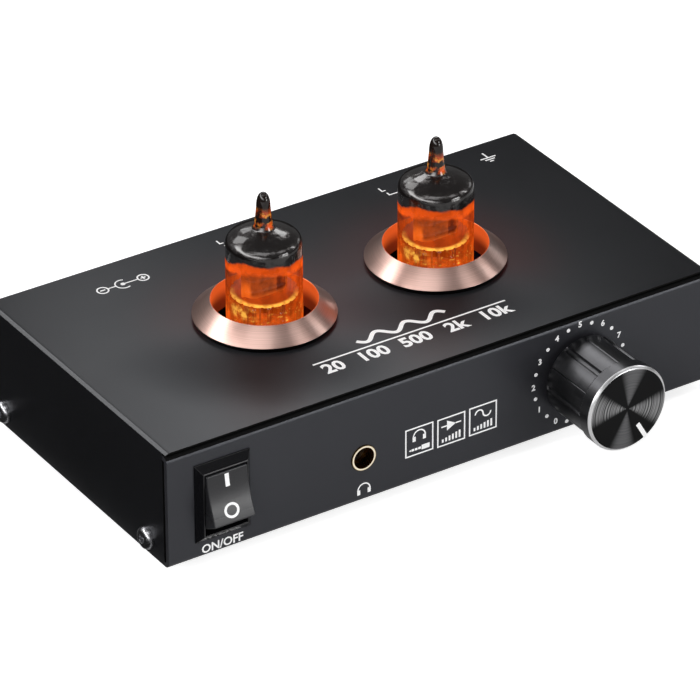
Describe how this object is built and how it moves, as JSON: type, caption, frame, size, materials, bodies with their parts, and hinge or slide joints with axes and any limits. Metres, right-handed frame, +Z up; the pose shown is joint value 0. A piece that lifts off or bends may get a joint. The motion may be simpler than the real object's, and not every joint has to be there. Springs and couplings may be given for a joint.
{
  "type": "tube phono preamplifier",
  "caption": "Low folded-metal case with two glowing tubes in trim rings on top, a rocker switch, headphone jack and fluted volume knob in front, and phono sockets behind.",
  "frame": {"origin": "centre of the case's footprint, on the plane that the four rubber feet stand on", "axes": "+X to the right, +Y to the back, +Z up; the controls face -Y"},
  "size_m": [0.1554, 0.1142, 0.0675],
  "materials": {
    "cover_paint": "satin black powder coat",
    "panel_paint": "satin black powder coat",
    "foot_rubber": "matt",
    "screw_steel": "black oxide, worn bright at the edges",
    "board_laminate": "solder mask",
    "plain_brass": "turned",
    "bright_steel": "zinc plated",
    "rose_aluminium": "turned, rose copper anodised",
    "socket_ceramic": "unglazed",
    "gilt_brass": "gold plated",
    "amber_light": "clear amber resin",
    "switch_plastic": "polished black",
    "rocker_plastic": "polished black",
    "connector_plastic": "moulded black",
    "red_lead": "smooth insulation",
    "green_lead": "smooth insulation",
    "pot_shell": "moulded",
    "black_anodised": "turned, black anodised",
    "white_insulator": "moulded",
    "red_insulator": "moulded",
    "can_sleeve": "shrunk sleeve",
    "film_case": "moulded",
    "chip_resin": "moulded resin",
    "sink_aluminium": "extruded",
    "coil_winding": "enamelled wire",
    "resistor_lacquer": "lacquered",
    "tube_glass": "clear, with a dark getter film in the dome",
    "pin_nickel": "nickel",
    "mica": "split mica",
    "plate_metal": "carbonised nickel"
  },
  "bodies": {
    "case": {"top_cover": "cover_paint", "base_tray": "panel_paint", "rubber_feet": "foot_rubber", "cover_screws": "screw_steel", "circuit_board": "board_laminate", "board_standoffs": "plain_brass", "board_screws": "bright_steel", "trim_ring_left": "rose_aluminium", "trim_ring_right": "rose_aluminium", "tube_socket_left": "socket_ceramic", "tube_socket_right": "socket_ceramic", "socket_contacts": "gilt_brass", "tube_lights": "amber_light", "switch_housing": "switch_plastic", "switch_terminals": "bright_steel", "switch_leads": "red_lead", "headphone_jack": "connector_plastic", "jack_bush": "gilt_brass", "jack_leaves": "plain_brass", "pot_housing": "pot_shell", "pot_bushing": "plain_brass", "pot_washer": "bright_steel", "pot_nut": "bright_steel", "power_inlet": "connector_plastic", "inlet_pin": "bright_steel", "line_out_block": "connector_plastic", "line_in_block": "connector_plastic", "rca_shells": "gilt_brass", "rca_insulators_left": "white_insulator", "rca_insulators_right": "red_insulator", "rca_contacts": "gilt_brass", "ground_stud": "gilt_brass", "ground_inner_nut": "bright_steel", "ground_lead": "green_lead", "filter_capacitors": "can_sleeve", "coupling_capacitors": "film_case", "op_amps": "chip_resin", "regulator": "chip_resin", "heat_sink": "sink_aluminium", "boost_inductor": "coil_winding", "resistors": "resistor_lacquer"},
    "rocker": {"switch_rocker": "rocker_plastic"},
    "volume": {"volume_knob": "black_anodised", "knob_grub_screw": "screw_steel", "volume_shaft": "bright_steel"},
    "left_tube": {"tube_glass_left": "tube_glass", "tube_pins_left": "pin_nickel", "tube_micas_left": "mica", "tube_plate_left": "plate_metal", "tube_electrodes_left": "pin_nickel", "tube_getter_left": "pin_nickel"},
    "right_tube": {"tube_glass_right": "tube_glass", "tube_pins_right": "pin_nickel", "tube_micas_right": "mica", "tube_plate_right": "plate_metal", "tube_electrodes_right": "pin_nickel", "tube_getter_right": "pin_nickel"},
    "ground_clamp": {"ground_washer": "gilt_brass"},
    "ground_nut": {"ground_thumb_nut": "gilt_brass"}
  },
  "joints": [
    {"name": "rocker_tilt", "type": "hinge", "parent": "case", "child": "rocker", "pos_m": [-0.0614, -0.0387, 0.0182], "axis": [1, 0, 0], "range_deg": [0, 33]},
    {"name": "volume_turn", "type": "hinge", "parent": "case", "child": "volume", "pos_m": [0.0385, -0.05, 0.018], "axis": [0, 1, 0], "range_deg": [-300, 0]},
    {"name": "left_tube_lift", "type": "slide", "parent": "case", "child": "left_tube", "axis": [0, 0, 1], "range_m": [0, 0.045]},
    {"name": "right_tube_lift", "type": "slide", "parent": "case", "child": "right_tube", "axis": [0, 0, 1], "range_m": [0, 0.045]},
    {"name": "ground_clamp_slide", "type": "slide", "parent": "case", "child": "ground_clamp", "axis": [0, 1, 0], "range_m": [0, 0.0028]},
    {"name": "ground_nut_turn", "type": "hinge", "parent": "ground_clamp", "child": "ground_nut", "pos_m": [0.063, 0.0465, 0.02], "axis": [0, 1, 0], "range_deg": [0, 1440]}
  ],
  "couplings": [
    {"joint": "ground_nut_turn", "follows": "ground_clamp_slide", "rad_per_m": 8975.9}
  ]
}
